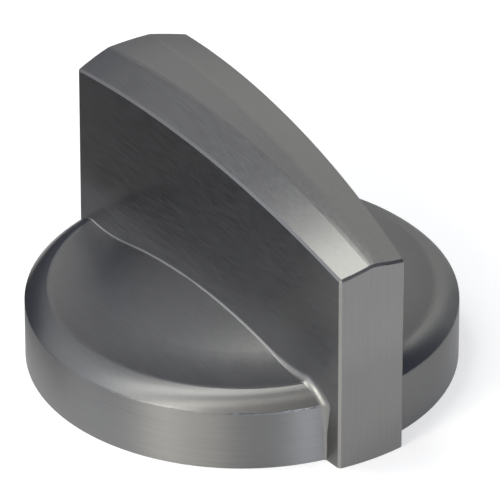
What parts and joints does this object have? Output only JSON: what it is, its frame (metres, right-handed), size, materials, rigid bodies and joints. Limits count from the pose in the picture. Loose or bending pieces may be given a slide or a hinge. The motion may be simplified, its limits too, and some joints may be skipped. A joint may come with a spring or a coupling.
{
  "type": "stove knob",
  "caption": "Round-based metal control knob for a cooktop valve, with a tall blade grip that narrows to a pointer and a D-shaped stem socket.",
  "frame": {"origin": "centre of the stem socket's mouth, in the plane of the skirt's lower edge", "axes": "+Z along the stem axis, away from the appliance; the pointer looks towards -Y"},
  "size_m": [0.05, 0.0523, 0.0307],
  "materials": {
    "cast_shell": "zinc casting, brushed lengthwise and plated in a dark, slightly warm nickel",
    "moulded_hub": "black glass-filled plastic, fine moulded texture",
    "spring_steel": "bare rolled spring steel",
    "steel_band": "zinc-plated steel strip",
    "plated_screw": "bright zinc-plated steel"
  },
  "bodies": {
    "root": {"knob_shell": "cast_shell", "stem_hub": "moulded_hub", "stem_clip": "spring_steel", "hub_ring": "steel_band", "hub_screws": "plated_screw"}
  },
  "joints": []
}
